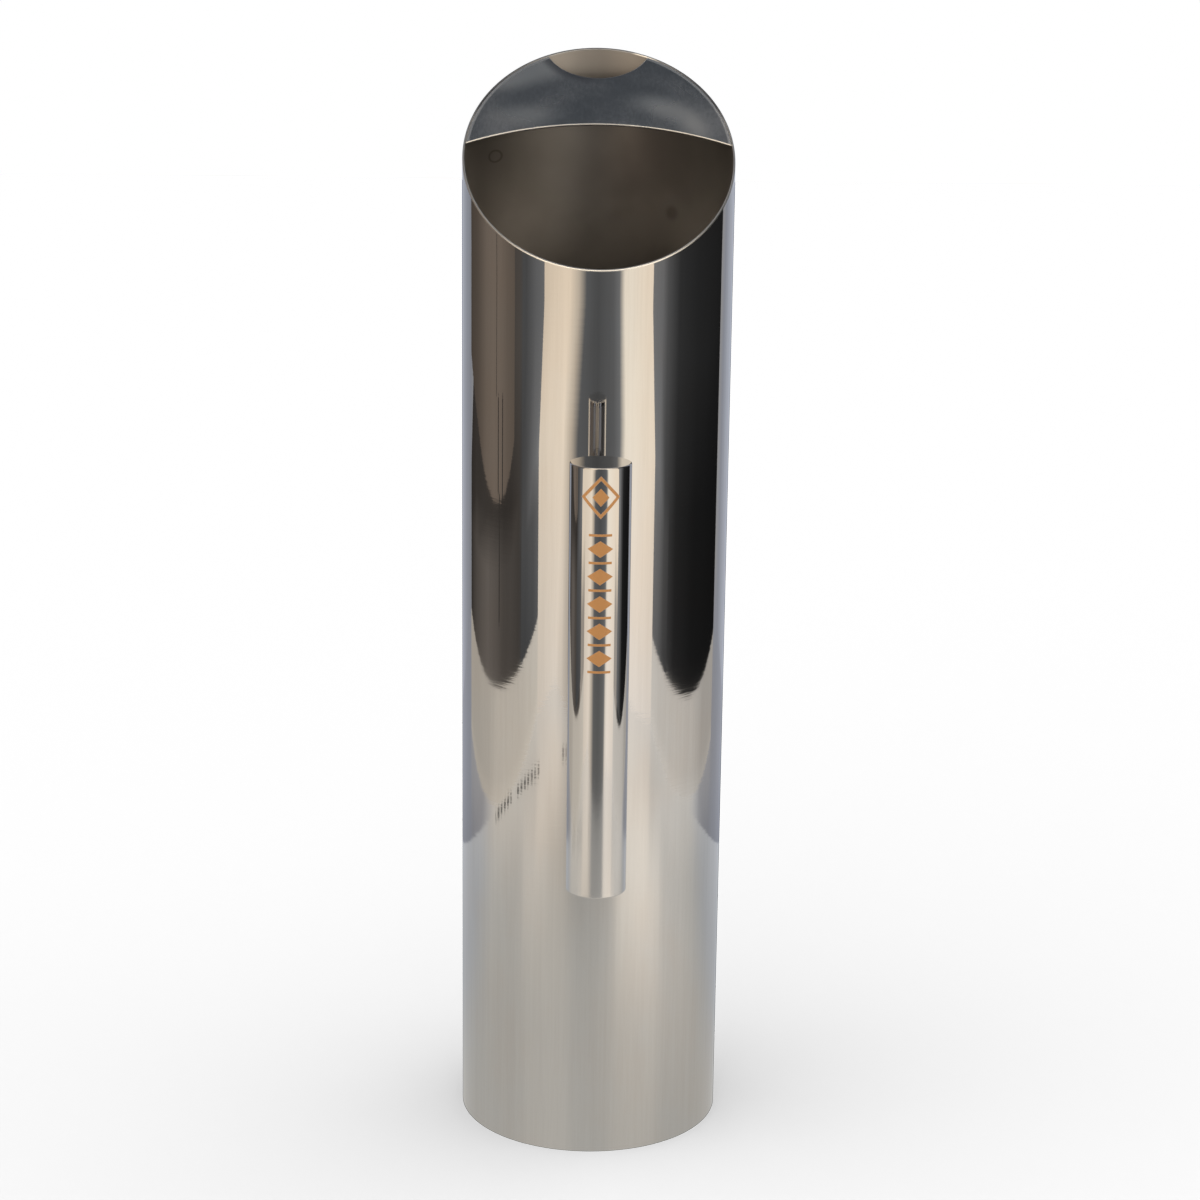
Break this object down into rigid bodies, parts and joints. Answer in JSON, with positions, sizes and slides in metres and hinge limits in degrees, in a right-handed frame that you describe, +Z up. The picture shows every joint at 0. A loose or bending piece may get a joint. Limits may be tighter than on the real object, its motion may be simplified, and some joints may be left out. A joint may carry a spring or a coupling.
{
  "type": "steel pitcher",
  "caption": "Tall straight-sided steel pitcher with a slanted mouth, a crescent ice guard with a pouring notch, and an upright bar handle on two posts.",
  "frame": {"origin": "centre of the circle on which the tube stands, on the axis of the tube", "axes": "+Z up along the tube's axis, +Y towards the spout, -Y towards the handle, +X to the right of someone who faces the handle"},
  "size_m": [0.09, 0.1522, 0.3687],
  "materials": {
    "polished_steel": "near-mirror polish with very fine lines running round the tube, duller inside",
    "base_steel": "satin, as pressed",
    "satin_steel": "satin, cloudy",
    "bar_steel": "near-mirror polish",
    "weld_steel": "weld bead, brushed clean"
  },
  "bodies": {
    "root": {"body_tube": "polished_steel", "base_pan": "base_steel", "ice_guard": "satin_steel", "handle_tube": "bar_steel", "handle_top_cap": "bar_steel", "handle_bottom_cap": "bar_steel", "upper_post": "bar_steel", "lower_post": "bar_steel", "upper_post_weld": "weld_steel", "lower_post_weld": "weld_steel"}
  },
  "joints": []
}
